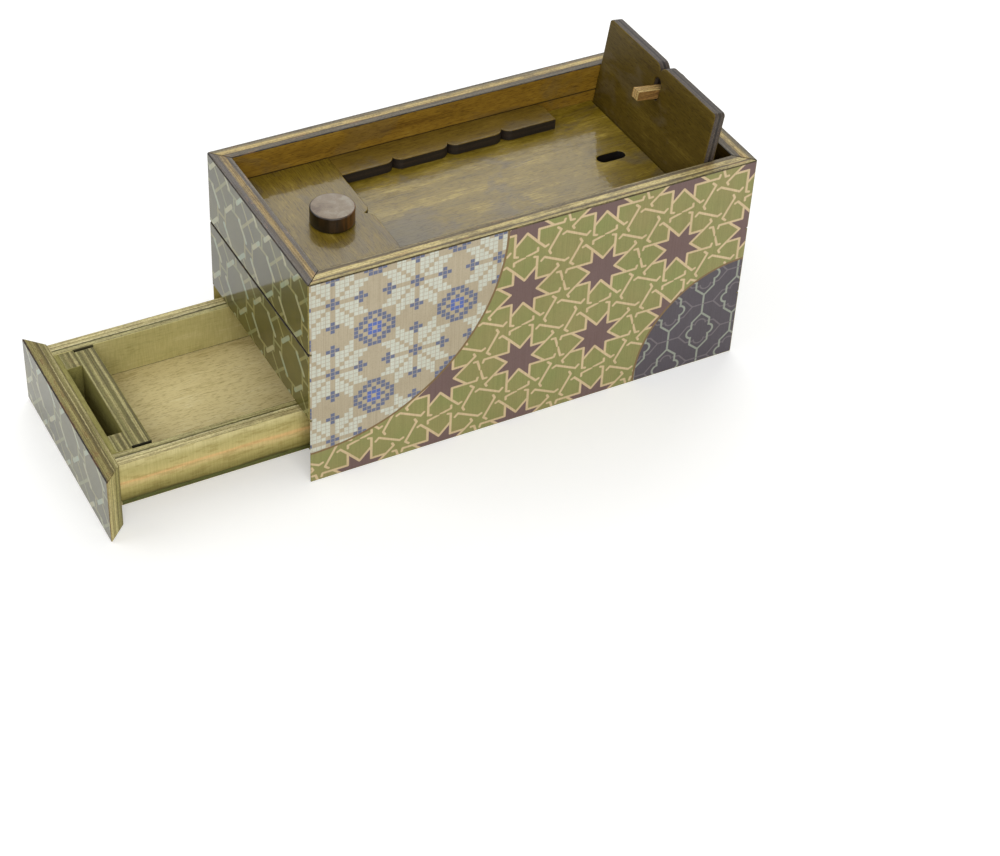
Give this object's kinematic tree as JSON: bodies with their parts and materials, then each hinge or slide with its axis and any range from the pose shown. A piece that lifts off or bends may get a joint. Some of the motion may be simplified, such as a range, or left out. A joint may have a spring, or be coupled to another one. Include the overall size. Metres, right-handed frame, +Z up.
{
  "type": "wooden puzzle box",
  "caption": "Rectangular plywood puzzle box with a sliding end drawer, a sunk tray with knobs, a tilting plate over a hidden chamber and a knob-driven drawer lock.",
  "frame": {"origin": "middle of the case's footprint, on the surface it stands on", "axes": "+Z up, +X along the case away from the drawer, +Y across the case; the drawer opens towards -X"},
  "size_m": [0.2558, 0.0884, 0.1083],
  "materials": {
    "print_wood": "satin",
    "print_wood_back": "satin",
    "end_wood": "satin",
    "lacquered_wood": "satin",
    "raw_ply": "matte",
    "pale_ply": "matte",
    "dark_wood": "satin"
  },
  "bodies": {
    "case": {"front_wall": "print_wood", "back_wall": "print_wood_back", "left_top_band": "end_wood", "left_middle_band": "end_wood", "right_top_band": "end_wood", "right_middle_band": "end_wood", "right_bottom_band": "end_wood", "bottom_board": "lacquered_wood", "drawer_runner_front": "raw_ply", "drawer_runner_back": "raw_ply", "drawer_bay_roof": "raw_ply", "recess_floor": "lacquered_wood", "front_strip": "lacquered_wood", "back_strip": "lacquered_wood", "left_plate": "lacquered_wood", "chamber_wall": "raw_ply", "bar_rail_front": "raw_ply", "bar_rail_back": "raw_ply", "slider_runner_front": "raw_ply", "slider_runner_back": "raw_ply"},
    "tilting_plate": {"right_plate": "lacquered_wood"},
    "plate_knob": {"right_knob": "dark_wood", "right_peg": "pale_ply"},
    "lock_knob": {"left_knob": "dark_wood", "left_peg": "pale_ply", "lock_slider": "raw_ply", "cam_plate": "pale_ply"},
    "lock_bar": {"lock_bar": "pale_ply", "bar_cheek_front": "raw_ply", "bar_cheek_back": "raw_ply", "cam_pin": "pale_ply"},
    "drawer": {"drawer_front": "end_wood", "pocket_liner": "pale_ply", "pocket_block_front": "pale_ply", "pocket_block_back": "pale_ply", "drawer_cross_wall": "pale_ply", "drawer_side_front": "raw_ply", "drawer_side_back": "raw_ply", "drawer_back": "raw_ply", "drawer_bottom": "raw_ply"}
  },
  "joints": [
    {"name": "plate_tilt", "type": "hinge", "parent": "case", "child": "tilting_plate", "pos_m": [0.07474, 0, 0.07858], "axis": [0, -1, 0], "range_deg": [0, 97.9]},
    {"name": "plate_knob_slide", "type": "slide", "parent": "tilting_plate", "child": "plate_knob", "axis": [0.1374, 0, 0.9905], "range_m": [0, 0.0024]},
    {"name": "lock_knob_slide", "type": "slide", "parent": "case", "child": "lock_knob", "axis": [-1, 0, 0], "range_m": [0, 0.003]},
    {"name": "lock_bar_drop", "type": "slide", "parent": "case", "child": "lock_bar", "axis": [0, 0, -1], "range_m": [0, 0.0045]},
    {"name": "drawer_slide", "type": "slide", "parent": "case", "child": "drawer", "axis": [1, 0, 0], "range_m": [-0.034, 0.0758]}
  ],
  "couplings": [
    {"joint": "lock_bar_drop", "follows": "lock_knob_slide", "ratio": 1.5}
  ]
}
